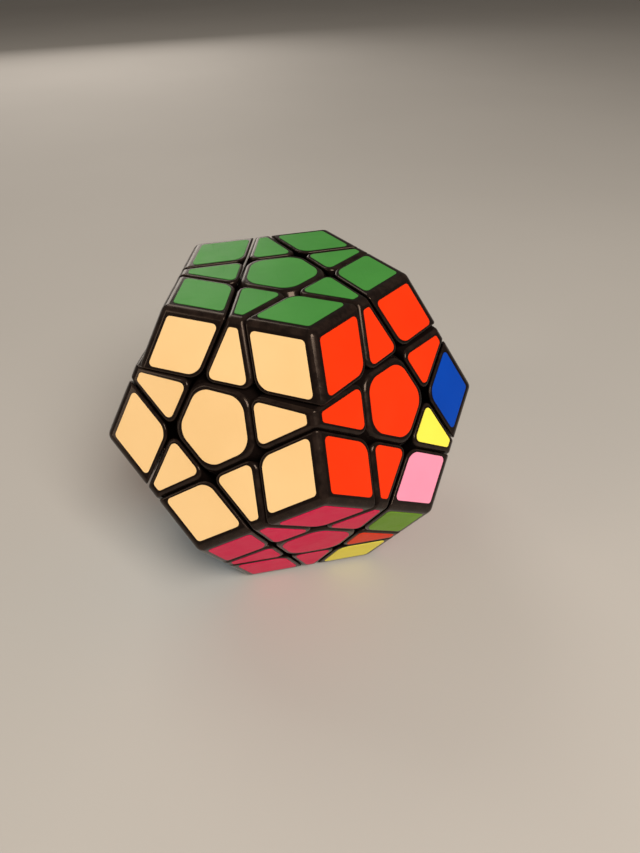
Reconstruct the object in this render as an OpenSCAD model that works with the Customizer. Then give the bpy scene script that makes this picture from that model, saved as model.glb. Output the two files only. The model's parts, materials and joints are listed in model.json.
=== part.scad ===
// Twelve-sided twisty puzzle: 20 corners, 30 edges and 12 sprung centres on a ball core.
// Millimetres. The puzzle rests on its lime face, with that face's middle at the origin.

/* [Overall] */
// Length of one edge of the dodecahedron
edge_len = 31; // [26:0.5:38]
// How far the green layer stands turned out of line, in degrees
green_layer_turn = 3; // [-30:0.5:30]

/* [Cuts between the pieces] */
// Width of an edge piece where it meets the outer edge of the puzzle
edge_tip_w = 3.1; // [2.8:0.1:5]
// Clearance between neighbouring pieces, and between the shells inside
piece_gap = 0.4; // [0.3:0.05:0.5]

/* [Rounding] */
// How far the fillets along the puzzle's outer edges reach in from each edge
ridge_reach = 1.2; // [0.6:0.05:1.3]
// How far the fillets along the cuts reach in from each cut
rim_reach = 0.6; // [0.4:0.05:0.9]
// Radius of a corner piece's upright edge, the one nearest the middle of a face
corner_upright_r = 3.8; // [1:0.1:4]
// Radius of an edge piece's upright edges
edge_upright_r = 1.6; // [0.5:0.1:2]
// Radius of a centre's five upright edges
centre_upright_r = 4.2; // [1:0.1:4.5]
// Radius of the upright edges of a corner piece's foot
foot_upright_r = 1.2; // [0.5:0.1:2]

/* [Feet under the pieces] */
// Radius of the neck that joins a corner piece to its foot
corner_neck_r = 3; // [2.5:0.1:3.6]
// How far a foot reaches under its neighbours
foot_overhang = 3.75; // [2.5:0.25:5]
// Thickness of the feet
foot_t = 4.5; // [3:0.25:6]

/* [Core] */
// Wall of the hollow core ball
core_wall = 2.2; // [1.8:0.1:3]
// Height of the lip that lines up the core's halves
lip_h = 1.5; // [1:0.1:2.5]
// Thickness of the lip
lip_t = 1; // [0.7:0.05:1.2]
// Clearance round the lip
lip_gap = 0.1; // [0.05:0.05:0.2]
// Depth of the wells that guide the centres
well_depth = 7.3; // [5:0.1:8]
// Wall of the wells
well_wall = 1.2; // [1:0.1:1.6]
// Floor of the wells
well_floor = 1.5; // [1:0.1:2]
// Radius of the boss that each screw bites into
boss_r = 3.1; // [2.5:0.1:3.2]
// How far the boss reaches past the screw's tip
boss_end = 0.6; // [0.4:0.1:1]

/* [Centres] */
// Radius of a centre's stem
stem_r = 4.8; // [4:0.1:5]
// Wall of the stem
stem_wall = 1.1; // [0.9:0.05:1.2]
// Floor of the stem, which the spring presses on
stem_floor = 1.5; // [1:0.1:2]
// Clearance round the stem in its well
stem_gap = 0.2; // [0.15:0.05:0.3]
// Clearance under the stem
stem_end_gap = 0.5; // [0.3:0.1:0.8]
// Thickness of the caps
cap_t = 1.2; // [1:0.1:1.4]
// Length of the plug under a cap
plug_len = 1; // [0.6:0.1:1.2]
// Clearance round the plug
plug_gap = 0.05; // [0.02:0.01:0.1]

/* [Screws and springs] */
// Radius of a screw's shank
screw_r = 1.25; // [1:0.05:1.4]
// Length of thread in the core
thread_len = 6.5; // [4:0.25:7]
// Radius of a screw's tip
screw_tip_r = 0.6; // [0.4:0.05:0.9]
// Length of the taper behind the tip
screw_taper = 1.2; // [0.8:0.1:2]
// Clearance round the shank in a stem's floor
shank_gap = 0.35; // [0.2:0.05:0.5]
// Height of a screw's head
head_h = 1.8; // [1.4:0.1:2]
// Width of the rim round the cross in the head
head_rim = 0.9; // [0.5:0.1:1.2]
// Width of the slots of the cross
slot_w = 0.75; // [0.5:0.05:1]
// Depth of the slots
slot_depth = 1.1; // [0.6:0.1:1.2]
// How far a washer stands out round the screw's head
washer_rim = 0.5; // [0.3:0.05:0.7]
// Clearance round a washer in its stem
washer_gap = 0.3; // [0.2:0.05:0.5]
// Thickness of a washer
washer_t = 0.6; // [0.4:0.1:0.8]
// Length of a spring in place
spring_len = 6.9; // [5:0.1:7]
// Clearance round a spring in its stem
spring_gap = 0.6; // [0.3:0.05:0.7]
// Radius of the spring wire
wire_r = 0.4; // [0.25:0.05:0.5]
// Turns in a spring
spring_turns = 4; // [3:1:5]

/* [Hidden] */
node = "all";
$fn = 96;

// The regular dodecahedron
golden = (1 + sqrt(5)) / 2;
inradius = edge_len * golden * golden / (2 * sqrt(3 - golden));
face_angle = atan(2);            // between the normals of neighbouring faces
vertex_angle = asin(sqrt((5 - sqrt(5)) / 7.5));  // from a vertex to the normals of its faces
side_tilt = 90 - face_angle;     // of the upper ring of faces, above the horizon
beyond = 2 * edge_len;           // further out than any piece
ridge_r = ridge_reach / tan(face_angle / 2);  // of the fillets where two outer faces meet
rim_r = rim_reach / tan(face_angle / 2);      // of the fillets over sides that slope outwards
lip_r = rim_reach * tan(face_angle / 2);      // of the fillets over undercut sides
ease = 0.01;                     // how far a shape stands back where two would share a face

// The cut planes, at one distance from the centre for the pieces and one for their feet
strip_w = (edge_len - edge_tip_w) * sin(72) / 2;
piece_level = inradius - strip_w * sin(face_angle);
half_gap = piece_gap / 2;
neck_level = (piece_level + half_gap + corner_neck_r * sin(vertex_angle)) / cos(vertex_angle);
foot_top = norm([neck_level, corner_neck_r]);
foot_angle = acos(piece_level / foot_top) + foot_overhang / foot_top * 180 / PI;
foot_level = foot_top * cos(foot_angle);
foot_base = foot_top - foot_t;
core_r = foot_base - half_gap;

// Levels along the axis of each face, from the middle of the puzzle
well_level = core_r - well_depth;
stem_level = well_level + stem_end_gap;
spring_level = stem_level + stem_floor;
washer_level = spring_level + spring_len;
head_level = washer_level + washer_t;
screw_tip_level = well_level - thread_len;
boss_level = screw_tip_level - boss_end;
cap_level = inradius - cap_t;
well_r = stem_r + stem_gap;
cavity_r = stem_r - stem_wall;
washer_r = cavity_r - washer_gap;
head_r = washer_r - washer_rim;
spring_r = cavity_r - spring_gap - wire_r;  // to the middle of the wire
core_inner_r = core_r - core_wall;
spring_end_gap = 0.05;           // between a spring's last turns and what they press on
spring_steps = 10;               // of the helix, in each turn
wire_sides = 5;
arc_steps = 5;                   // of each fillet

// The twelve faces: top, upper ring, lower ring, bottom
function direction(azimuth, elevation) =
    [cos(azimuth) * cos(elevation), sin(azimuth) * cos(elevation), sin(elevation)];
COLOURS = [
    "green", "cream", "red", "blue", "white", "grey",
    "crimson", "pink", "yellow", "orange", "sky", "lime"
];
NORMALS = [
    [0, 0, 1],
    for (k = [0:4]) direction(-126 + 72 * k, side_tilt),
    for (k = [0:4]) direction(-90 + 72 * k, -side_tilt),
    [0, 0, -1]
];
TOP = 0;
LAYERS = [0, 7, 9];  // three faces that share no piece
BELTS = ["upper_belt", "middle_belt", "lower_belt"];

function touching(a, b) = NORMALS[a] * NORMALS[b] > 0.1 && a != b;
CORNERS = [
    for (a = [0:9]) for (b = [a + 1:10]) for (c = [b + 1:11])
        if (touching(a, b) && touching(b, c) && touching(a, c)) [a, b, c]
];
EDGES = [for (a = [0:10]) for (b = [a + 1:11]) if (touching(a, b)) [a, b]];

// The pink layer isn't solved, so four of its corner pieces stand in each other's places
SWAPPED = [
    [[2, 6, 7], [7, 8, 11]],
    [[7, 8, 11], [2, 6, 7]],
    [[3, 7, 8], [6, 7, 11]],
    [[6, 7, 11], [3, 7, 8]]
];
function piece_at(place) =
    let (found = [for (pair = SWAPPED) if (pair[0] == place) pair[1]])
    len(found) > 0 ? found[0] : place;
function corner_name(place) =
    let (own = piece_at(place))
    str("corner_", COLOURS[own[0]], "_", COLOURS[own[1]], "_", COLOURS[own[2]]);

// Edges are grouped by the layer that carries them, and the others by height
function layer_name(face) = str(COLOURS[face], "_layer");
function belt_of(edge) =
    let (height = (NORMALS[edge[0]] + NORMALS[edge[1]]).z)
    height > 0.1 ? BELTS[0] : height < -0.1 ? BELTS[2] : BELTS[1];
function group_of(edge) =
    let (found = [for (face = LAYERS) if (edge[0] == face || edge[1] == face) face])
    len(found) > 0 ? layer_name(found[0]) : belt_of(edge);
EDGE_GROUPS = [for (face = LAYERS) layer_name(face), each BELTS];

NODES = [
    "core_upper_half", "core_lower_half", "tension_screws", "spring_washers", "tension_springs",
    for (colour = COLOURS) str(colour, "_centre_base"),
    for (colour = COLOURS) str(colour, "_centre_cap"),
    for (place = CORNERS) corner_name(place),
    for (group = EDGE_GROUPS) str(group, "_edges")
];

function unit(v) = v / norm(v);

// Points of a rounded corner at b, between its neighbours a and c
function rounded(a, b, c, r) =
    let (
        u = unit(a - b),
        v = unit(c - b),
        half = acos(u * v) / 2,
        middle = b + unit(u + v) * r / sin(half),
        first = b + u * r / tan(half) - middle,
        start = atan2(first.y, first.x),
        sweep = 180 - 2 * half
    )
    r == 0 ? [b] : [
        for (k = [0:arc_steps])
            let (angle = start + sweep * k / arc_steps) middle + r * [cos(angle), sin(angle)]
    ];

// Bar along the line where faces p and q meet. It runs from low to high along both normals,
// and its four long edges are rounded: low-low, high-low, high-high, low-high.
module bar(p, q, low, high, radii) {
    spread = acos(p * q);
    along = unit(cross(p, q));
    side = cross(along, p);
    levels = [low, [high.x, low.y], high, [low.x, high.y]];
    points = [for (at = levels) [at.x, (at.y - at.x * cos(spread)) / sin(spread)]];
    outline = [
        for (k = [0:3]) each rounded(points[(k + 3) % 4], points[k], points[(k + 1) % 4], radii[k])
    ];
    multmatrix([
        [p.x, side.x, along.x, 0],
        [p.y, side.y, along.y, 0],
        [p.z, side.z, along.z, 0],
        [0, 0, 0, 1]
    ]) linear_extrude(2 * beyond, center = true) polygon(outline);
}

module shell(outer, inner) {
    difference() {
        sphere(outer);
        sphere(inner);
    }
}

// Everything is built round the middle of the puzzle and lifted to stand on the lime face
module lifted(faces = []) {
    turned = len([for (face = faces) if (face == TOP) face]) > 0;
    translate([0, 0, inradius]) rotate([0, 0, turned ? green_layer_turn : 0]) children();
}

// Carries a piece built along +Z to a face, a vertex or an edge, with its X towards side
module turned_to(along, side) {
    third = cross(along, side);
    multmatrix([
        [side.x, third.x, along.x, 0],
        [side.y, third.y, along.y, 0],
        [side.z, third.z, along.z, 0],
        [0, 0, 0, 1]
    ]) children();
}

module on_axis(face) {
    along = NORMALS[face];
    near = [for (other = [0:11]) if (touching(face, other)) NORMALS[other]][0];
    turned_to(along, unit(near - (near * along) * along)) children();
}

module on_vertex(place) {
    first = NORMALS[place[0]];
    along = unit(first + NORMALS[place[1]] + NORMALS[place[2]]);
    turned_to(along, unit(first - (first * along) * along)) children();
}

module on_edge(edge) {
    along = unit(NORMALS[edge[0]] + NORMALS[edge[1]]);
    turned_to(along, unit(cross(NORMALS[edge[0]], NORMALS[edge[1]]))) children();
}

// Space of a corner piece along +Z, inward to one cut level on its three faces
module corner_space(level, upright, ridge = 0, lip = 0) {
    own = [for (k = [0:2]) direction(120 * k, 90 - vertex_angle)];
    low = level + half_gap;
    intersection_for (k = [0:2])
        bar(own[k], own[(k + 1) % 3],
            [low, low], [inradius, inradius], [upright, lip, ridge, lip]);
}

module corner_piece(place) {
    color("#17161a") lifted(place) on_vertex(place) {
        difference() {
            corner_space(piece_level, corner_upright_r, ridge_r, lip_r);
            sphere(foot_top - piece_gap);
        }
        intersection() {
            corner_space(foot_level, foot_upright_r);
            shell(foot_top - half_gap, foot_base + half_gap);
        }
    }
}

// Space of an edge piece along +Z, with its outer edge along X: inward to one cut level on
// its two faces, and outward to another on the two faces at its ends
module edge_space(side_level, end_level, ridge = 0, rim = 0, lip = 0, upright = 0) {
    own = [for (azimuth = [-90, 90]) direction(azimuth, 90 - face_angle / 2)];
    ends = [for (azimuth = [0, 180]) direction(azimuth, face_angle / 2)];
    low = side_level + half_gap;
    high = end_level - half_gap;
    intersection() {
        bar(own[0], own[1], [low, low], [inradius, inradius], [0, lip, ridge, lip]);
        intersection_for (k = [0:1]) intersection_for (end = ends)
            bar(own[k], end, [low - ease, -beyond], [inradius + ease, high + k * ease],
                [0, 0, rim, upright]);
    }
}

module edge_piece(edge) {
    color("#1b191d") lifted(edge) on_edge(edge) {
        difference() {
            edge_space(piece_level, piece_level, ridge_r, rim_r, lip_r, edge_upright_r);
            sphere(foot_top + half_gap);
        }
        intersection() {
            edge_space(piece_level + 2 * ease, foot_level - 2 * ease);
            shell(foot_top + piece_gap, foot_top - piece_gap);
        }
        intersection() {
            edge_space(foot_level, foot_level);
            shell(foot_top - half_gap, foot_base + half_gap);
        }
    }
}

// Space of a centre, along +Z, from one level to another
module centre_space(low, high, rim = 0) {
    sides = [for (k = [0:4]) direction(72 * k, 90 - face_angle)];
    wall = piece_level - half_gap;
    intersection() {
        intersection_for (k = [0:4])
            bar([0, 0, 1], sides[k], [low, -beyond], [high, wall], [0, 0, rim, 0]);
        intersection_for (k = [0:4])
            bar(sides[k], sides[(k + 1) % 5],
                [-beyond, -beyond], [wall, wall], [0, 0, centre_upright_r, 0]);
    }
}

module centre_base(face) {
    color("#1d1b1f") lifted([face]) on_axis(face) difference() {
        union() {
            difference() {
                centre_space(piece_level, cap_level);
                sphere(foot_top + half_gap);
            }
            translate([0, 0, stem_level]) cylinder(h = cap_level - stem_level, r = stem_r);
        }
        translate([0, 0, spring_level]) cylinder(h = beyond, r = cavity_r);
        cylinder(h = beyond, r = screw_r + shank_gap);
    }
}

module centre_cap(face) {
    color("#141316") lifted([face]) on_axis(face) {
        centre_space(cap_level, inradius, rim_r);
        translate([0, 0, cap_level - plug_len])
            cylinder(h = plug_len + cap_t / 2, r = cavity_r - plug_gap);
    }
}

// One half of the core: half of a hollow ball with six wells
module core_half(upper) {
    faces = upper ? [0:5] : [6:11];
    color("#d9d6cf") lifted() difference() {
        union() {
            intersection() {
                shell(core_r, core_inner_r);
                translate([-beyond, -beyond, upper ? 0 : -beyond])
                    cube([2 * beyond, 2 * beyond, beyond]);
            }
            intersection() {
                sphere(core_r - core_wall / 2);
                for (face = faces) on_axis(face) {
                    translate([0, 0, well_level - well_floor])
                        cylinder(h = core_r, r = well_r + well_wall);
                    translate([0, 0, boss_level]) cylinder(h = well_depth, r = boss_r);
                }
            }
            if (upper) lip(lip_t, lip_h);
        }
        for (face = faces) on_axis(face) {
            translate([0, 0, well_level]) cylinder(h = beyond, r = well_r);
            cylinder(h = beyond, r = screw_r);
        }
        if (!upper) lip(lip_t + lip_gap, lip_h + lip_gap);
    }
}

module lip(thickness, height) {
    rotate_extrude()
        translate([core_inner_r, -height]) square([thickness, height + core_wall / 4]);
}

module tension_screw() {
    translate([0, 0, screw_tip_level + screw_taper])
        cylinder(h = head_level - screw_tip_level - screw_taper, r = screw_r);
    translate([0, 0, screw_tip_level])
        cylinder(h = screw_taper, r1 = screw_tip_r, r2 = screw_r);
    difference() {
        translate([0, 0, head_level]) cylinder(h = head_h, r = head_r);
        for (turn = [0, 90])
            rotate([0, 0, turn]) translate([0, 0, head_level + head_h - slot_depth / 2])
                cube([2 * (head_r - head_rim), slot_w, slot_depth], center = true);
    }
}

module spring_washer() {
    translate([0, 0, washer_level]) difference() {
        cylinder(h = washer_t, r = washer_r);
        translate([0, 0, -washer_t]) cylinder(h = 3 * washer_t, r = screw_r);
    }
}

// Round wire swept along a helix
module tension_spring() {
    steps = spring_turns * spring_steps;
    low = spring_level + wire_r + spring_end_gap;
    rise = spring_len - 2 * (wire_r + spring_end_gap);
    points = [
        for (k = [0:steps]) for (s = [0:wire_sides - 1])
            let (
                turn = 360 * k / spring_steps,
                out = spring_r + wire_r * cos(360 * s / wire_sides)
            )
            [
                out * cos(turn), out * sin(turn),
                low + rise * k / steps + wire_r * sin(360 * s / wire_sides)
            ]
    ];
    skin = [
        for (k = [0:steps - 1]) for (s = [0:wire_sides - 1])
            let (a = k * wire_sides, n = (s + 1) % wire_sides)
            each [
                [a + s, a + n, a + wire_sides + n],
                [a + s, a + wire_sides + n, a + wire_sides + s]
            ]
    ];
    first = [for (s = [wire_sides - 1:-1:0]) s];
    last = [for (s = [0:wire_sides - 1]) steps * wire_sides + s];
    polyhedron(points, [each skin, first, last]);
}

module tension_screws() {
    color("#c8cbd0") lifted() for (face = [0:11]) on_axis(face) tension_screw();
}

module spring_washers() {
    color("#aab0b6") lifted() for (face = [0:11]) on_axis(face) spring_washer();
}

module tension_springs() {
    color("#9ba1a8") lifted() for (face = [0:11]) on_axis(face) tension_spring();
}

function shown(name) = node == "all" || node == name;

if (shown("core_upper_half")) core_half(true);
if (shown("core_lower_half")) core_half(false);
if (shown("tension_screws")) tension_screws();
if (shown("spring_washers")) spring_washers();
if (shown("tension_springs")) tension_springs();
for (face = [0:11]) if (shown(str(COLOURS[face], "_centre_base"))) centre_base(face);
for (face = [0:11]) if (shown(str(COLOURS[face], "_centre_cap"))) centre_cap(face);
for (place = CORNERS) if (shown(corner_name(place))) corner_piece(place);
for (edge = EDGES) if (shown(str(group_of(edge), "_edges"))) edge_piece(edge);
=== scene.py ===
"""Dodecahedron puzzle with turning layers: black pieces, vinyl stickers and soft studio light."""
import json
import math
import random

import bmesh
import bpy
from mathutils import Matrix, Vector


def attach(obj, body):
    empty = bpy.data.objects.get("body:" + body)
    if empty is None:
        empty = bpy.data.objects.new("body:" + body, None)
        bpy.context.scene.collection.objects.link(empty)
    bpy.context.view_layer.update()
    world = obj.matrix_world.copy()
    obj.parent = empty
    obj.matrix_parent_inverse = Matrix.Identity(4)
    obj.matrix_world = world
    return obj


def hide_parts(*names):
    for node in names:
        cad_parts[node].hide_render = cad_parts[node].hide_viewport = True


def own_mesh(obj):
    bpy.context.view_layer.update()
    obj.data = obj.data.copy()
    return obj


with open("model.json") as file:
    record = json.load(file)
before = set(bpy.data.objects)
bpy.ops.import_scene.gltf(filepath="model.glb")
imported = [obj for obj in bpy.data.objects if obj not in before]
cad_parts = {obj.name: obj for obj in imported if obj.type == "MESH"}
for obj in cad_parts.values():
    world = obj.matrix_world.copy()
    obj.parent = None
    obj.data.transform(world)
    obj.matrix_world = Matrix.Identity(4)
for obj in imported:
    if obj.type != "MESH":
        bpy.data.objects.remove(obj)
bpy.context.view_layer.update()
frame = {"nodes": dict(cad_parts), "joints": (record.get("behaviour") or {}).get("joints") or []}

# ---------------------------------------------------------------- sizes, in metres
# The sizes of the pieces are the frame's own
MM = 0.001
GOLDEN = (1 + math.sqrt(5)) / 2
EDGE_LEN = 31 * MM
INRADIUS = EDGE_LEN * GOLDEN ** 2 / (2 * math.sqrt(3 - GOLDEN))
FACE_ANGLE = math.atan(2)
VERTEX_ANGLE = math.asin(math.sqrt((5 - math.sqrt(5)) / 7.5))
GREEN_LAYER_TURN = math.radians(3)
TIP_WIDTH = 3.1 * MM
HALF_GAP = 0.2 * MM
EASE = 0.02 * MM             # how far a neck stands back, so that no two faces are shared
RIDGE_REACH = 1.2 * MM
RIM_REACH = 0.6 * MM
CORNER_UPRIGHT_R = 3.8 * MM
EDGE_UPRIGHT_R = 1.6 * MM
CENTRE_UPRIGHT_R = 4.2 * MM
FOOT_UPRIGHT_R = 1.2 * MM
NECK_R = 3 * MM
FOOT_OVERHANG = 3.75 * MM
FOOT_THICKNESS = 4.5 * MM
CAP_THICKNESS = 1.2 * MM

# Springs
SPRING_DEPTH = 5.3 * MM      # of a spring's foot, under the core's surface
SPRING_LEN = 6.9 * MM
SPRING_R = 2.7 * MM          # to the middle of the wire
SPRING_TURNS = 4
SPRING_END_GAP = 0.05 * MM
WIRE_R = 0.4 * MM

# Levels of the cuts, as in the frame: one for the pieces and one for their feet
FACE_APOTHEM = EDGE_LEN / (2 * math.tan(math.radians(36)))
STRIP_WIDTH = (EDGE_LEN - TIP_WIDTH) * math.sin(math.radians(72)) / 2
PIECE_LEVEL = INRADIUS - STRIP_WIDTH * math.sin(FACE_ANGLE)
NECK_LEVEL = (PIECE_LEVEL + HALF_GAP + NECK_R * math.sin(VERTEX_ANGLE)) / math.cos(VERTEX_ANGLE)
FOOT_TOP = math.hypot(NECK_LEVEL, NECK_R)
FOOT_LEVEL = FOOT_TOP * math.cos(math.acos(PIECE_LEVEL / FOOT_TOP) + FOOT_OVERHANG / FOOT_TOP)
FOOT_BASE = FOOT_TOP - FOOT_THICKNESS
SPRING_LEVEL = FOOT_BASE - HALF_GAP - SPRING_DEPTH

# Stickers
CUT_LINE = FACE_APOTHEM - STRIP_WIDTH  # from the middle of a face
STICKER_THICKNESS = 0.1 * MM
STICKER_TO_CUT = 1.12 * MM
STICKER_TO_RIDGE = 1.7 * MM
CENTRE_STICKER_APOTHEM = 6.85 * MM
CENTRE_STICKER_R = 3.7 * MM
EDGE_STICKER_INNER_R = 1.2 * MM
EDGE_STICKER_OUTER_R = 0.6 * MM
CORNER_STICKER_INNER_R = 3 * MM
CORNER_STICKER_R = 0.9 * MM  # of its other three corners
STICKER_RIM_REACH = 0.04 * MM
STICKER_SLIP = 0.06 * MM     # how far one may sit from its place, each way
SLIP_SEED = 12

ON_A_FACE = 0.01 * MM        # what lies less deep is on the flat of a face
RIM_DEPTH = 0.5 * MM         # what lies less deep is on a worn rim
MIDDLE = Vector((0, 0, INRADIUS))

COLOURS = ["green", "cream", "red", "blue", "white", "grey",
           "crimson", "pink", "yellow", "orange", "sky", "lime"]
LAYERS = {0: "green_layer", 7: "pink_layer", 9: "orange_layer"}

# Stickers that don't show their face's colour, on the unsolved pink layer
STRAY_COLOURS = {
    (2, 6, 7): {7: "yellow", 6: "lime", 2: "pink"},
    (2, 3, 7): {7: "red", 2: "blue", 3: "pink"},
    (3, 7, 8): {7: "crimson", 3: "pink", 8: "lime"},
    (7, 8, 11): {7: "red", 8: "pink", 11: "crimson"},
    (6, 7, 11): {7: "pink", 11: "blue", 6: "yellow"},
    (2, 7): {2: "yellow", 7: "pink"},
    (7, 8): {8: "crimson", 7: "pink"},
    (6, 7): {6: "red", 7: "pink"},
}
# Corner pieces that stand in another corner's place
CARRIED = {(2, 6, 7): (7, 8, 11), (7, 8, 11): (2, 6, 7), (3, 7, 8): (6, 7, 11), (6, 7, 11): (3, 7, 8)}


def direction(azimuth, elevation):
    """Unit vector that points there; angles in radians."""
    return Vector((math.cos(azimuth) * math.cos(elevation),
                   math.sin(azimuth) * math.cos(elevation),
                   math.sin(elevation)))


SIDE_TILT = math.pi / 2 - FACE_ANGLE
NORMALS = [Vector((0, 0, 1))]
NORMALS += [direction(math.radians(-126 + 72 * k), SIDE_TILT) for k in range(5)]
NORMALS += [direction(math.radians(-90 + 72 * k), -SIDE_TILT) for k in range(5)]
NORMALS += [Vector((0, 0, -1))]


def touching(a, b):
    """Whether two faces share an edge."""
    return a != b and NORMALS[a].dot(NORMALS[b]) > 0.1


CORNERS = [(a, b, c) for a in range(10) for b in range(a + 1, 11) for c in range(b + 1, 12)
           if touching(a, b) and touching(b, c) and touching(a, c)]
EDGES = [(a, b) for a in range(11) for b in range(a + 1, 12) if touching(a, b)]


# ---------------------------------------------------------------- materials
class Signal:
    """A number that runs through a material's nodes and takes Python's operators."""

    def __init__(self, finish, socket):
        self.finish = finish
        self.socket = socket

    def maths(self, operation, first, second):
        """One Math node; each side is a Signal or a plain number."""
        return self.finish.add("ShaderNodeMath", {"operation": operation}, {0: first, 1: second})

    def __add__(self, other):
        return self.maths("ADD", self, other)

    def __radd__(self, other):
        return self.maths("ADD", other, self)

    def __mul__(self, other):
        return self.maths("MULTIPLY", self, other)

    def __rmul__(self, other):
        return self.maths("MULTIPLY", other, self)


class Finish:
    """One material and the nodes that make it."""

    def __init__(self, name):
        self.material = bpy.data.materials.new(name)
        self.material.use_nodes = True
        self.tree = self.material.node_tree
        self.tree.nodes.clear()

    def add(self, kind, settings, sockets, out=0):
        """Adds a node: its settings first, then the values or links of its sockets."""
        node = self.tree.nodes.new(kind)
        for name, value in settings.items():
            setattr(node, name, value)
        for name, value in sockets.items():
            if isinstance(value, Signal):
                self.tree.links.new(value.socket, node.inputs[name])
            else:
                node.inputs[name].default_value = value
        return Signal(self, node.outputs[out]) if node.outputs else None

    def place(self):
        """Where a point is on its piece."""
        return self.add("ShaderNodeTexCoord", {}, {}, "Object")

    def stretched(self, place, scale):
        """Coordinates for a pattern that is finer along the axes of larger scale."""
        return self.add("ShaderNodeMapping", {}, {"Vector": place, "Scale": scale})

    def noise(self, place, size, detail=3, roughness=0.5):
        """Noise whose lumps are about that size across, in metres."""
        return self.add("ShaderNodeTexNoise", {},
                        {"Vector": place, "Scale": 1 / size, "Detail": detail,
                         "Roughness": roughness})

    def mask(self, value, low, high):
        """0 under low, 1 over high."""
        return self.add("ShaderNodeMapRange", {}, {0: value, 1: low, 2: high, 3: 0, 4: 1})

    def blended(self, factor, first, second):
        """The first colour where factor is 0 and the second where it is 1."""
        return self.add("ShaderNodeMix", {"data_type": "RGBA"},
                        {"Factor": factor, 6: first, 7: second}, 2)

    def bump(self, height, depth, strength, under=None):
        """Relief of that depth in metres, on top of another relief if there is one."""
        sockets = {"Height": height, "Distance": depth, "Strength": strength}
        if under:
            sockets["Normal"] = under
        return self.add("ShaderNodeBump", {}, sockets)

    def done(self, **sockets):
        """The surface itself; underscores stand for the spaces in its sockets' names."""
        surface = self.add("ShaderNodeBsdfPrincipled", {},
                           {name.replace("_", " "): value for name, value in sockets.items()})
        self.add("ShaderNodeOutputMaterial", {}, {"Surface": surface})
        return self.material


def rgb(red, green, blue):
    """Opaque colour from its linear parts."""
    return (red, green, blue, 1)


def hairline_scratches(finish, place, size):
    """Fine scratches in two directions: 1 on a scratch, 0 off it."""
    masks = []
    for scale in ((1, 26, 9), (22, 1, 7)):
        streaks = finish.noise(finish.stretched(place, scale), size, detail=2)
        masks.append(finish.mask(streaks, low=0.66, high=0.7))
    return masks[0] + masks[1]


def glossy_black_plastic():
    """Moulded black ABS: polished, clouded by fingers and rubbed grey along the rims."""
    finish = Finish("glossy_black_plastic")
    place = finish.place()
    clouds = finish.noise(place, 9 * MM, detail=4, roughness=0.6)
    grain = finish.noise(place, 0.8 * MM, detail=2)
    rim = finish.add("ShaderNodeAttribute", {"attribute_name": "rim"}, {}, "Fac")
    patches = finish.noise(place, 2.2 * MM, detail=5, roughness=0.65)
    worn = rim * finish.mask(patches, low=0.38, high=0.62)
    scratches = hairline_scratches(finish, place, 6 * MM)
    colour = finish.blended(worn * 0.35, rgb(0.007, 0.0045, 0.004), rgb(0.036, 0.022, 0.017))
    roughness = 0.09 + clouds * 0.11 + worn * 0.08 + scratches * 0.1
    relief = finish.bump(grain * 0.1 + clouds, depth=0.012 * MM, strength=0.3)
    return finish.done(Base_Color=colour, Roughness=roughness, Normal=relief,
                       Specular_IOR_Level=0.22, Specular_Tint=rgb(1, 0.78, 0.64))


def sticker_vinyl(name, colour, shade):
    """Self-adhesive vinyl: evenly coloured satin with a faint orange-peel and light rubbing."""
    finish = Finish("vinyl_" + name)
    place = finish.place()
    clouds = finish.noise(place, 14 * MM, detail=3, roughness=0.5)
    peel = finish.noise(place, 0.8 * MM, detail=2)
    patches = finish.noise(place, 5 * MM, detail=5, roughness=0.65)
    rubbed = finish.mask(patches, low=0.45, high=0.75)
    scratches = hairline_scratches(finish, place, 8 * MM)
    tint = finish.blended(finish.mask(clouds, low=0.3, high=0.7), rgb(*colour), rgb(*shade))
    roughness = 0.36 + rubbed * 0.12 + scratches * 0.1
    orange_peel = finish.bump(peel, depth=0.006 * MM, strength=0.5)
    relief = finish.bump(clouds, depth=0.06 * MM, strength=0.35, under=orange_peel)
    return finish.done(Base_Color=tint, Roughness=roughness, Normal=relief,
                       Specular_IOR_Level=0.1)


def off_white_core_plastic():
    """Moulded plastic straight from the tool: off-white and finely grained."""
    finish = Finish("off_white_core_plastic")
    place = finish.place()
    clouds = finish.noise(place, 6 * MM, detail=4, roughness=0.6)
    grain = finish.noise(place, 0.4 * MM, detail=2)
    colour = finish.blended(clouds, rgb(0.66, 0.64, 0.58), rgb(0.78, 0.77, 0.72))
    return finish.done(Base_Color=colour, Roughness=0.4 + clouds * 0.15,
                       Normal=finish.bump(grain, depth=0.01 * MM, strength=0.5))


def steel(name, bright, dull, roughness):
    """Drawn or plated steel with fine lines and a clouded finish."""
    finish = Finish(name)
    place = finish.place()
    lines = finish.noise(finish.stretched(place, (1, 1, 18)), 1.5 * MM, detail=3)
    clouds = finish.noise(place, 3 * MM, detail=4, roughness=0.6)
    colour = finish.blended(clouds, rgb(*bright), rgb(*dull))
    return finish.done(Base_Color=colour, Metallic=1, Roughness=roughness + lines * 0.15,
                       Normal=finish.bump(lines, depth=0.004 * MM, strength=0.5))


def pale_floor():
    """Matt board with faint clouds."""
    finish = Finish("pale_floor")
    place = finish.place()
    clouds = finish.noise(place, 180 * MM, detail=3, roughness=0.5)
    colour = finish.blended(clouds, rgb(0.44, 0.43, 0.415), rgb(0.49, 0.48, 0.465))
    return finish.done(Base_Color=colour, Roughness=0.75)


BLACK = glossy_black_plastic()
SPRING_WIRE = steel("drawn_spring_wire", (0.45, 0.46, 0.49), (0.36, 0.37, 0.40), 0.28)
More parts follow.
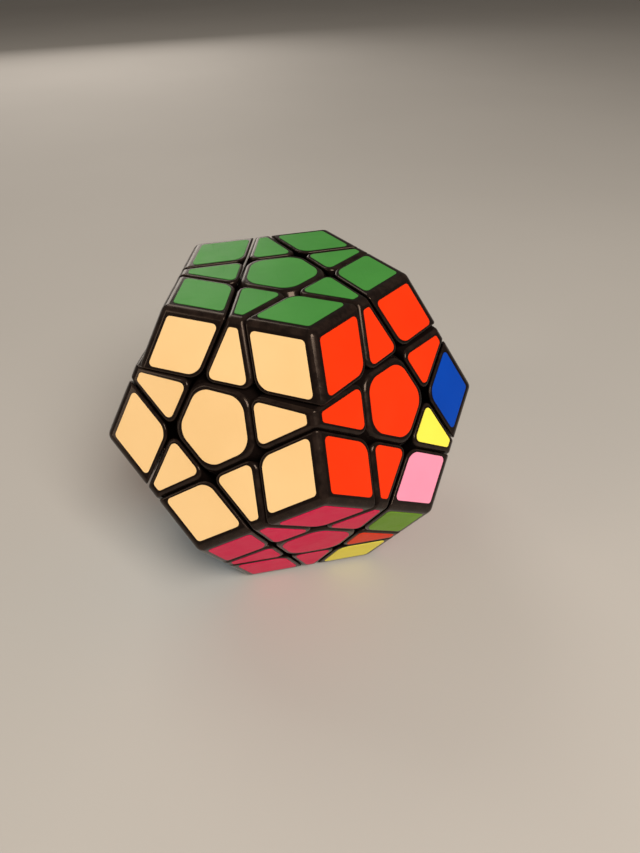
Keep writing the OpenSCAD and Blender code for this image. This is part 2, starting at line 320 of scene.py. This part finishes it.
# Colour and the slightly duller shade that it drifts to
VINYL_TINTS = {
    "green": ((0.056, 0.262, 0.048), (0.046, 0.228, 0.041)),
    "cream": ((0.930, 0.640, 0.310), (0.890, 0.600, 0.280)),
    "red": ((0.870, 0.040, 0.004), (0.810, 0.034, 0.003)),
    "blue": ((0.001, 0.058, 0.450), (0.001, 0.050, 0.400)),
    "white": ((0.850, 0.840, 0.800), (0.800, 0.790, 0.755)),
    "grey": ((0.260, 0.262, 0.268), (0.230, 0.232, 0.240)),
    "crimson": ((0.800, 0.006, 0.088), (0.730, 0.005, 0.078)),
    "pink": ((0.930, 0.320, 0.480), (0.880, 0.290, 0.440)),
    "yellow": ((0.960, 0.860, 0.100), (0.920, 0.810, 0.085)),
    "orange": ((0.900, 0.200, 0.010), (0.850, 0.180, 0.009)),
    "sky": ((0.130, 0.440, 0.760), (0.115, 0.400, 0.700)),
    "lime": ((0.170, 0.370, 0.018), (0.150, 0.330, 0.016)),
}
VINYL = {name: sticker_vinyl(name, *tints) for name, tints in VINYL_TINTS.items()}


# ---------------------------------------------------------------- modelling by hand
def nothing_selected():
    """Leaves edit mode and deselects all."""
    if bpy.context.object and bpy.context.object.mode != "OBJECT":
        bpy.ops.object.mode_set(mode="OBJECT")
    bpy.ops.object.select_all(action="DESELECT")


def work_on(piece):
    """Makes a piece the only one that operators act on."""
    nothing_selected()
    piece.select_set(True)
    bpy.context.view_layer.objects.active = piece


def apply_modifier(piece, kind, **settings):
    """Adds a modifier with these settings and makes its result the mesh."""
    work_on(piece)
    modifier = piece.modifiers.new(kind.lower(), kind)
    for name, value in settings.items():
        setattr(modifier, name, value)
    bpy.ops.object.modifier_apply(modifier=modifier.name)


def block(name, planes):
    """A cube cut down to what lies behind every plane, each given as (normal, distance)."""
    nothing_selected()
    bpy.ops.mesh.primitive_cube_add(size=4 * EDGE_LEN, location=(0, 0, 0))
    piece = bpy.context.object
    piece.name = name
    bpy.ops.object.mode_set(mode="EDIT")
    for normal, distance in planes:
        bpy.ops.mesh.select_all(action="SELECT")
        bpy.ops.mesh.bisect(plane_co=normal * distance, plane_no=normal, use_fill=True,
                            clear_outer=True, clear_inner=False, threshold=1e-7)
    bpy.ops.mesh.select_all(action="SELECT")
    bpy.ops.mesh.normals_make_consistent(inside=False)
    bpy.ops.object.mode_set(mode="OBJECT")
    return piece


def on_plane(point, plane, reach=1e-6):
    """Whether a point lies on a plane, given as (normal, distance)."""
    return abs(point.dot(plane[0]) - plane[1]) < reach


def round_edges(piece, chosen, offset, segments):
    """Rounds every edge whose two ends pass the test, back to that far from the edge."""
    work_on(piece)
    bpy.ops.object.mode_set(mode="EDIT")
    bpy.ops.mesh.select_mode(type="EDGE")
    bpy.ops.mesh.select_all(action="DESELECT")
    mesh = bmesh.from_edit_mesh(piece.data)
    for edge in mesh.edges:
        edge.select_set(chosen(edge.verts[0].co, edge.verts[1].co))
    bmesh.update_edit_mesh(piece.data)
    bpy.ops.mesh.bevel(offset_type="OFFSET", offset=offset, segments=segments, profile=0.5,
                       affect="EDGES", clamp_overlap=False, loop_slide=True)
    bpy.ops.object.mode_set(mode="OBJECT")


def round_where_planes_meet(piece, pairs, offset, segments):
    """Rounds the edges that lie on both planes of a pair."""
    def chosen(a, b):
        return any(all(on_plane(end, plane) for end in (a, b) for plane in pair)
                   for pair in pairs)

    round_edges(piece, chosen, offset, segments)


def round_rims(piece, faces, ridge_reach, rim_reach, segments):
    """Rounds the outline of each outer face, and further where two outer faces meet."""
    layer = piece.data.attributes.new("bevel_weight_edge", "FLOAT", "EDGE")
    for edge, weight in zip(piece.data.edges, layer.data):
        ends = [piece.data.vertices[k].co for k in edge.vertices]
        touched = sum(all(on_plane(end, face) for end in ends) for face in faces)
        weight.value = (0, rim_reach / ridge_reach, 1)[touched]
    apply_modifier(piece, "BEVEL", offset_type="OFFSET", width=ridge_reach, segments=segments,
                   limit_method="WEIGHT", use_clamp_overlap=False, loop_slide=True)


def ball(radius):
    """A ball round the puzzle's middle, to cut shells with."""
    nothing_selected()
    bpy.ops.mesh.primitive_uv_sphere_add(segments=96, ring_count=64, radius=radius)
    return bpy.context.object


def combine(piece, tool, operation):
    """Boolean of a piece with a tool, which is used up."""
    apply_modifier(piece, "BOOLEAN", object=tool, operation=operation, solver="EXACT")
    bpy.data.objects.remove(tool)


def smooth_faces(piece, angle=40):
    """Smooth over the fillets and flat on the faces."""
    work_on(piece)
    bpy.ops.object.shade_smooth_by_angle(angle=math.radians(angle))
    apply_modifier(piece, "WEIGHTED_NORMAL", mode="FACE_AREA", weight=50, keep_sharp=True)


def mark_rims(piece, outer_faces):
    """Stores where the outer fillets are, for the worn rims of the black plastic."""
    values = []
    for vertex in piece.data.vertices:
        depth = min(face[1] - vertex.co.dot(face[0]) for face in outer_faces)
        values.append(1.0 if ON_A_FACE < depth < RIM_DEPTH else 0.0)
    layer = piece.data.attributes.new("rim", "FLOAT", "POINT")
    layer.data.foreach_set("value", values)


def offset_for(radius, interior_angle):
    """How far from an edge a fillet of that radius starts, where the sides meet at that angle."""
    return radius * math.tan((math.pi - interior_angle) / 2)


def corner_master():
    """A corner piece along +Z: rounded block, neck and foot."""
    own = [direction(2 * math.pi * k / 3, math.pi / 2 - VERTEX_ANGLE) for k in range(3)]
    outer = [(n, INRADIUS) for n in own]
    walls = [(-n, -(PIECE_LEVEL + HALF_GAP)) for n in own]
    piece = block("corner_master", outer + walls)
    uprights = [(walls[0], walls[1]), (walls[1], walls[2]), (walls[0], walls[2])]
    round_where_planes_meet(piece, uprights,
                            offset_for(CORNER_UPRIGHT_R, math.pi - FACE_ANGLE), segments=10)
    round_rims(piece, outer, RIDGE_REACH, RIM_REACH, segments=6)
    combine(piece, ball(FOOT_TOP - 2 * HALF_GAP), "DIFFERENCE")
    low = [(-n, -(FOOT_LEVEL + HALF_GAP)) for n in own]
    foot = block("corner_foot", outer + low)
    uprights = [(low[0], low[1]), (low[1], low[2]), (low[0], low[2])]
    round_where_planes_meet(foot, uprights,
                            offset_for(FOOT_UPRIGHT_R, math.pi - FACE_ANGLE), segments=5)
    combine(foot, ball(FOOT_TOP - HALF_GAP), "INTERSECT")
    combine(foot, ball(FOOT_BASE + HALF_GAP), "DIFFERENCE")
    combine(piece, foot, "UNION")
    smooth_faces(piece)
    mark_rims(piece, outer)
    return piece


def edge_master():
    """An edge piece along +Z, with the puzzle's outer edge along X."""
    own = [direction(math.radians(a), math.pi / 2 - FACE_ANGLE / 2) for a in (-90, 90)]
    ends = [direction(math.radians(a), FACE_ANGLE / 2) for a in (0, 180)]
    outer = [(n, INRADIUS) for n in own]

    def space(name, side_level, end_level):
        """The block between two cut levels, with the planes of its sides and its ends."""
        sides = [(-n, -(side_level + HALF_GAP)) for n in own]
        stops = [(n, end_level - HALF_GAP) for n in ends]
        return block(name, outer + sides + stops), sides, stops

    piece, sides, stops = space("edge_master", PIECE_LEVEL, PIECE_LEVEL)
    uprights = [(side, stop) for side in sides for stop in stops]
    round_where_planes_meet(piece, uprights, offset_for(EDGE_UPRIGHT_R, FACE_ANGLE), segments=7)
    round_rims(piece, outer, RIDGE_REACH, RIM_REACH, segments=6)
    combine(piece, ball(FOOT_TOP + HALF_GAP), "DIFFERENCE")
    neck = space("edge_neck", PIECE_LEVEL + EASE, FOOT_LEVEL - EASE)[0]
    combine(neck, ball(FOOT_TOP + 2 * HALF_GAP), "INTERSECT")
    combine(neck, ball(FOOT_TOP - 2 * HALF_GAP), "DIFFERENCE")
    foot = space("edge_foot", FOOT_LEVEL, FOOT_LEVEL)[0]
    combine(foot, ball(FOOT_TOP - HALF_GAP), "INTERSECT")
    combine(foot, ball(FOOT_BASE + HALF_GAP), "DIFFERENCE")
    combine(piece, neck, "UNION")
    combine(piece, foot, "UNION")
    smooth_faces(piece)
    mark_rims(piece, outer)
    return piece


def cap_master():
    """A centre cap along +Z: a plate with five rounded corners."""
    sides = [(direction(2 * math.pi * k / 5, math.pi / 2 - FACE_ANGLE), PIECE_LEVEL - HALF_GAP)
             for k in range(5)]
    top = (Vector((0, 0, 1)), INRADIUS)
    bottom = (Vector((0, 0, -1)), CAP_THICKNESS - INRADIUS)
    piece = block("cap_master", sides + [top, bottom])
    uprights = [(sides[k], sides[(k + 1) % 5]) for k in range(5)]
    round_where_planes_meet(piece, uprights,
                            offset_for(CENTRE_UPRIGHT_R, math.pi - FACE_ANGLE), segments=10)
    round_rims(piece, [top], RIDGE_REACH, RIM_REACH, segments=6)
    smooth_faces(piece)
    mark_rims(piece, [top])
    return piece


def spring_master():
    """A compression spring along +Z, from its stem's floor to its washer: round wire, coiled."""
    foot = SPRING_LEVEL + SPRING_END_GAP + WIRE_R
    rise = SPRING_LEN - 2 * (SPRING_END_GAP + WIRE_R)
    nothing_selected()
    bpy.ops.mesh.primitive_circle_add(vertices=12, radius=WIRE_R, location=(SPRING_R, 0, foot),
                                      rotation=(math.pi / 2, 0, 0))
    bpy.ops.object.transform_apply(location=True, rotation=True, scale=True)
    spring = bpy.context.object
    spring.name = "spring_master"
    apply_modifier(spring, "SCREW", axis="Z", angle=2 * math.pi, iterations=SPRING_TURNS,
                   screw_offset=rise / SPRING_TURNS, steps=32, render_steps=32)
    bpy.ops.object.mode_set(mode="EDIT")
    bpy.ops.mesh.select_all(action="SELECT")
    bpy.ops.mesh.remove_doubles(threshold=1e-7)
    bpy.ops.mesh.fill_holes(sides=0)
    bpy.ops.mesh.select_all(action="SELECT")
    bpy.ops.mesh.normals_make_consistent(inside=False)
    bpy.ops.object.mode_set(mode="OBJECT")
    smooth_faces(spring)
    return spring


def sticker_master(name, sides, radii):
    """A sticker on a face that looks along +Z. radii pairs two sides with their corner's radius."""
    top = (Vector((0, 0, 1)), INRADIUS + STICKER_THICKNESS)
    bottom = (Vector((0, 0, -1)), -INRADIUS)
    piece = block(name, sides + [top, bottom])
    for (first, second), radius in radii:
        angle = math.pi - first[0].angle(second[0])
        round_where_planes_meet(piece, [(first, second)], offset_for(radius, angle), segments=8)
    round_rims(piece, [top], STICKER_RIM_REACH, STICKER_RIM_REACH, segments=2)
    smooth_faces(piece, 50)
    return piece


def sticker_masters():
    """The three shapes of sticker. The sides of their face look along toward."""
    toward = [Vector((math.cos(math.radians(72 * k)), math.sin(math.radians(72 * k)), 0))
              for k in range(-1, 5)]
    near, far = CUT_LINE + STICKER_TO_CUT, FACE_APOTHEM - STICKER_TO_RIDGE
    pentagon = [(toward[k], CENTRE_STICKER_APOTHEM) for k in range(5)]
    centre = sticker_master("centre_sticker", pentagon,
                            [((pentagon[k], pentagon[(k + 1) % 5]), CENTRE_STICKER_R)
                             for k in range(5)])
    inner, outer = (-toward[1], -near), (toward[1], far)
    ends = [(toward[0], CUT_LINE - STICKER_TO_CUT), (toward[2], CUT_LINE - STICKER_TO_CUT)]
    edge = sticker_master("edge_sticker", [inner, outer] + ends,
                          [((inner, end), EDGE_STICKER_INNER_R) for end in ends]
                          + [((outer, end), EDGE_STICKER_OUTER_R) for end in ends])
    low = [(-toward[1], -near), (-toward[2], -near)]
    high = [(toward[1], far), (toward[2], far)]
    corner = sticker_master("corner_sticker", low + high,
                            [((low[0], low[1]), CORNER_STICKER_INNER_R),
                             ((high[0], high[1]), CORNER_STICKER_R),
                             ((low[0], high[1]), CORNER_STICKER_R),
                             ((low[1], high[0]), CORNER_STICKER_R)])
    return {"centre": centre, "edge": edge, "corner": corner}


# ---------------------------------------------------------------- places
def axes_matrix(side, along):
    """Turns +X to side and +Z to along."""
    third = along.cross(side)
    return Matrix((side, third, along)).transposed().to_4x4()


def across(vector, along):
    """Unit vector of the part of a vector that is square to along."""
    return (vector - vector.dot(along) * along).normalized()


def face_matrix(face):
    """Turns +Z to the face's normal and +X towards the first face that touches it."""
    first = next(other for other in range(12) if touching(face, other))
    return axes_matrix(across(NORMALS[first], NORMALS[face]), NORMALS[face])


def ring_of(face):
    """The five faces that touch a face, in steps of 72 degrees from its +X."""
    matrix = face_matrix(face)
    ring = []
    for k in range(5):
        toward = matrix @ direction(math.radians(72 * k), SIDE_TILT)
        ring.append(max(range(12), key=lambda other: NORMALS[other].dot(toward)))
    return ring


def lifted(faces, matrix):
    """From round the puzzle's middle to the frame, with the green layer's small turn."""
    turn = GREEN_LAYER_TURN if 0 in faces else 0
    return Matrix.Translation(MIDDLE) @ Matrix.Rotation(turn, 4, "Z") @ matrix


def body_of_piece(faces):
    """The body that carries the piece on these faces: a layer that turns, or the core."""
    layers = [LAYERS[face] for face in faces if face in LAYERS]
    return layers[0] if layers else "core"


def edge_group(edge):
    """The frame's node that holds this edge piece."""
    if body_of_piece(edge) != "core":
        return body_of_piece(edge) + "_edges"
    height = (NORMALS[edge[0]] + NORMALS[edge[1]]).z
    belt = "upper" if height > 0.1 else "lower" if height < -0.1 else "middle"
    return belt + "_belt_edges"


def copy_to(master, name, matrix, material, body):
    """A copy of a master with its own mesh, moved to its place in the frame."""
    piece = master.copy()
    piece.name = name
    piece.data = master.data.copy()
    piece.data.name = name
    piece.data.transform(matrix)
    piece.data.materials.clear()
    piece.data.materials.append(material)
    bpy.context.scene.collection.objects.link(piece)
    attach(piece, body)
    return piece


def joined_names(faces):
    """The colours of these faces, as names join them."""
    return "_".join(COLOURS[face] for face in faces)


def place_black_pieces():
    """The corner pieces, edge pieces and caps."""
    corner, edge, cap = corner_master(), edge_master(), cap_master()
    for faces in CORNERS:
        along = (NORMALS[faces[0]] + NORMALS[faces[1]] + NORMALS[faces[2]]).normalized()
        matrix = lifted(faces, axes_matrix(across(NORMALS[faces[0]], along), along))
        carried = joined_names(CARRIED.get(faces, faces))
        piece = copy_to(corner, "corner_piece_" + carried, matrix, BLACK, body_of_piece(faces))
        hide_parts("corner_" + carried)
    for faces in EDGES:
        along = (NORMALS[faces[0]] + NORMALS[faces[1]]).normalized()
        side = NORMALS[faces[0]].cross(NORMALS[faces[1]]).normalized()
        matrix = lifted(faces, axes_matrix(side, along))
        piece = copy_to(edge, "edge_piece_" + joined_names(faces), matrix, BLACK,
                        body_of_piece(faces))
        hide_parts(edge_group(faces))
    for face in range(12):
        matrix = lifted((face,), face_matrix(face))
        piece = copy_to(cap, COLOURS[face] + "_cap", matrix, BLACK, COLOURS[face] + "_centre")
        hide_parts(COLOURS[face] + "_centre_cap")
    for master in (corner, edge, cap):
        bpy.data.objects.remove(master)


def place_stickers():
    """Eleven stickers on each face, each a hair off its place."""
    masters = sticker_masters()
    chance = random.Random(SLIP_SEED)
    for face in range(12):
        ring = ring_of(face)
        spots = [("centre", 0, (face,), COLOURS[face] + "_centre")]
        for k in range(5):
            edge = tuple(sorted((face, ring[k])))
            corner = tuple(sorted((face, ring[k], ring[(k + 1) % 5])))
            spots.append(("edge", k, edge, body_of_piece(edge)))
            spots.append(("corner", k, corner, body_of_piece(corner)))
        for kind, k, faces, body in spots:
            colour = STRAY_COLOURS.get(faces, {}).get(face, COLOURS[face])
            slip = Matrix.Translation((chance.uniform(-STICKER_SLIP, STICKER_SLIP),
                                       chance.uniform(-STICKER_SLIP, STICKER_SLIP), 0))
            turn = Matrix.Rotation(math.radians(72 * k), 4, "Z")
            matrix = lifted(faces, face_matrix(face) @ turn @ slip)
            name = f"sticker_{colour}_{kind}_{COLOURS[face]}_{k}"
            piece = copy_to(masters[kind], name, matrix, VINYL[colour], body)
            "sticker_" + colour
    for master in masters.values():
        bpy.data.objects.remove(master)


def place_springs():
    """A spring in each centre's stem."""
    master = spring_master()
    for face, colour in enumerate(COLOURS):
        joint = next(j for j in frame["joints"] if j["name"] == colour + "_centre_spring")
        travel = joint["range_m"][1]
        matrix = lifted((face,), face_matrix(face))
        spring = copy_to(master, colour + "_spring", matrix, SPRING_WIRE, "core")
        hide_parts("tension_springs")
        1 - travel / SPRING_LEN
        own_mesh(spring)
    bpy.data.objects.remove(master)


def finish_inner_parts():
    """Materials for what stays as the frame has it."""
    core = off_white_core_plastic()
    plate = steel("zinc_plated_steel", (0.62, 0.63, 0.65), (0.50, 0.52, 0.55), 0.22)
    finishes = {"core_upper_half": core, "core_lower_half": core, "tension_screws": plate,
                "spring_washers": plate}
    for name, node in frame["nodes"].items():
        for material_slot in node.material_slots:
            material_slot.material = finishes.get(name, BLACK)


# ---------------------------------------------------------------- studio
LAMP_TARGET = (0, 0, 0.03)   # near the middle of the puzzle
FLOOR_SIZE = 8


def aimed(location, target, roll=0):
    """Matrix of a camera or lamp at location that looks at target, upright."""
    back = (Vector(location) - Vector(target)).normalized()
    right = Vector((0, 0, 1)).cross(back).normalized()
    turned = axes_matrix(right, back) @ Matrix.Rotation(roll, 4, "Z")
    return Matrix.Translation(location) @ turned


def add_lamp(name, location, size, power, colour):
    """A soft box that shines on the puzzle and doesn't show itself."""
    lamp = bpy.data.lights.new(name, "AREA")
    lamp.shape = "RECTANGLE"
    lamp.size, lamp.size_y = size
    lamp.energy = power
    lamp.color = colour
    holder = bpy.data.objects.new(name, lamp)
    bpy.context.scene.collection.objects.link(holder)
    holder.matrix_world = aimed(location, LAMP_TARGET)
    holder.visible_camera = False


def set_studio():
    """Floor, ambient light, four soft boxes and the camera."""
    nothing_selected()
    bpy.ops.mesh.primitive_plane_add(size=FLOOR_SIZE, location=(0, 0, -STICKER_THICKNESS))
    floor = bpy.context.object
    floor.name = "floor"
    floor.data.materials.append(pale_floor())

    world = bpy.data.worlds.new("studio")
    world.use_nodes = True
    background = world.node_tree.nodes["Background"]
    background.inputs["Color"].default_value = (0.95, 0.84, 0.72, 1)
    background.inputs["Strength"].default_value = 0.16
    bpy.context.scene.world = world
    bpy.context.scene.view_settings.view_transform = "Standard"

    add_lamp("key", (0.16, -0.46, 0.54), (0.32, 0.32), 5.4, (1.0, 0.91, 0.80))
    add_lamp("left", (-0.65, -0.15, 0.30), (0.12, 0.50), 0.8, (1.0, 0.86, 0.70))
    add_lamp("back", (-0.25, 0.70, 0.85), (0.5, 0.3), 2, (1.0, 0.90, 0.78))
    add_lamp("low_back", (-0.15, 0.90, 0.30), (0.50, 0.30), 1.4, (1.0, 0.91, 0.82))

    camera = bpy.data.cameras.new("camera")
    camera.sensor_fit = "HORIZONTAL"
    camera.sensor_width = 36
    camera.lens = 35.9044
    camera.clip_start = 0.01
    camera.clip_end = 50
    holder = bpy.data.objects.new("camera", camera)
    bpy.context.scene.collection.objects.link(holder)
    location = Vector((-16.72, -124.87, 125.72)) * MM
    ahead = Vector((0.1506, 0.7742, -0.6148))
    holder.matrix_world = aimed(location, location + ahead, math.radians(-1.32))
    bpy.context.scene.camera = holder


place_black_pieces()
place_stickers()
place_springs()
finish_inner_parts()
set_studio()
